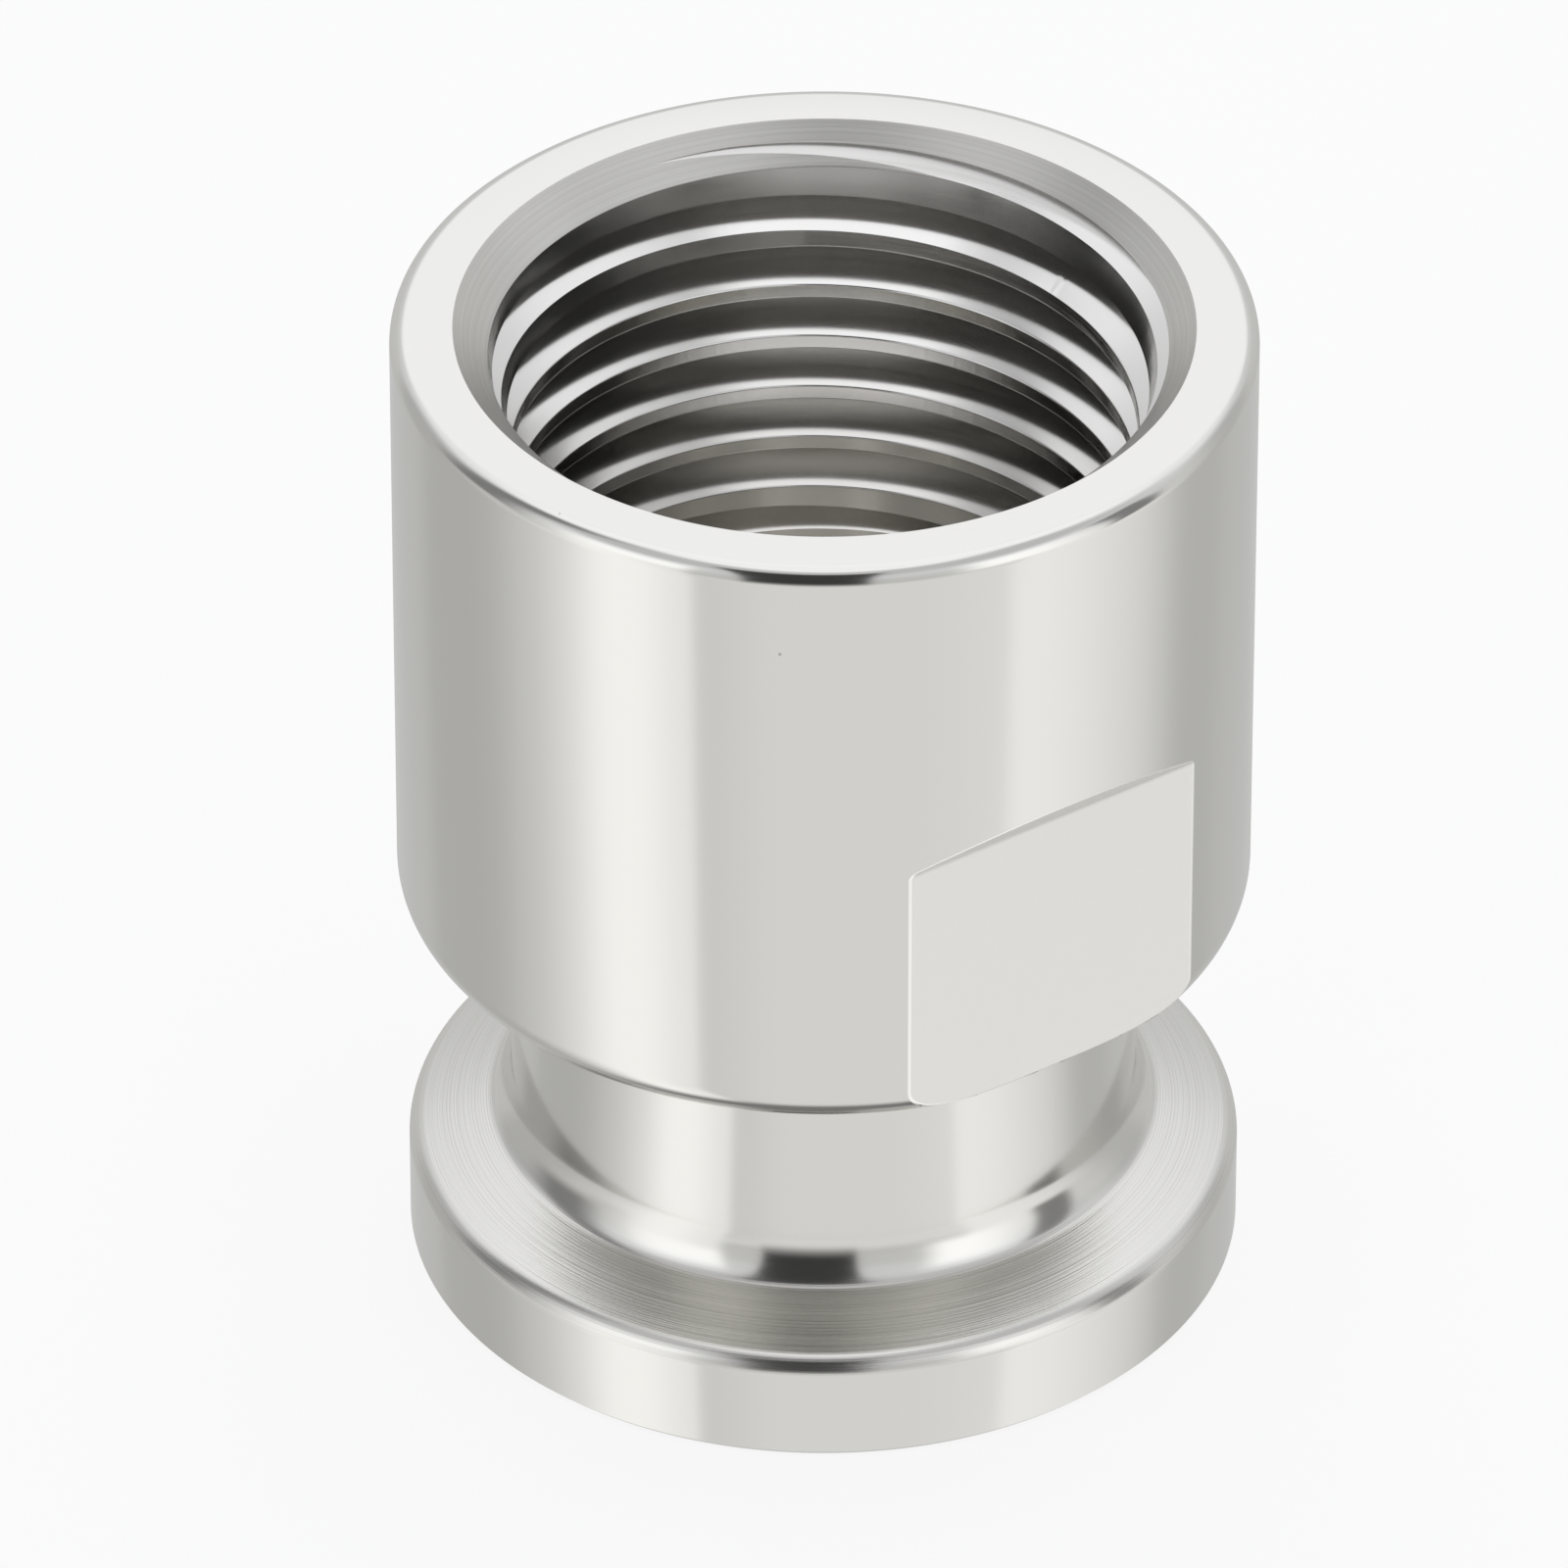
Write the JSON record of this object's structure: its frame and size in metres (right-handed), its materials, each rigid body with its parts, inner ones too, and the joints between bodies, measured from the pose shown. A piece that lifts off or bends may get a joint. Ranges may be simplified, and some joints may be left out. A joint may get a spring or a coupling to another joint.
{
  "type": "sanitary clamp threaded adapter",
  "caption": "Stainless adapter with a small clamp ferrule on one end and an internal taper pipe thread on the other, with wrench flats on its round body.",
  "frame": {"origin": "centre of the ferrule's sealing face, which is the face the adapter stands on", "axes": "+Z along the adapter's axis, from the ferrule towards the threaded mouth; -Y towards the viewer of the picture and +X to its right"},
  "size_m": [0.026, 0.0258, 0.0327],
  "materials": {
    "turned_stainless": "fine-turned and lightly polished stainless steel, milled wrench flats"
  },
  "bodies": {
    "root": {"adapter_body": "turned_stainless"}
  },
  "joints": []
}
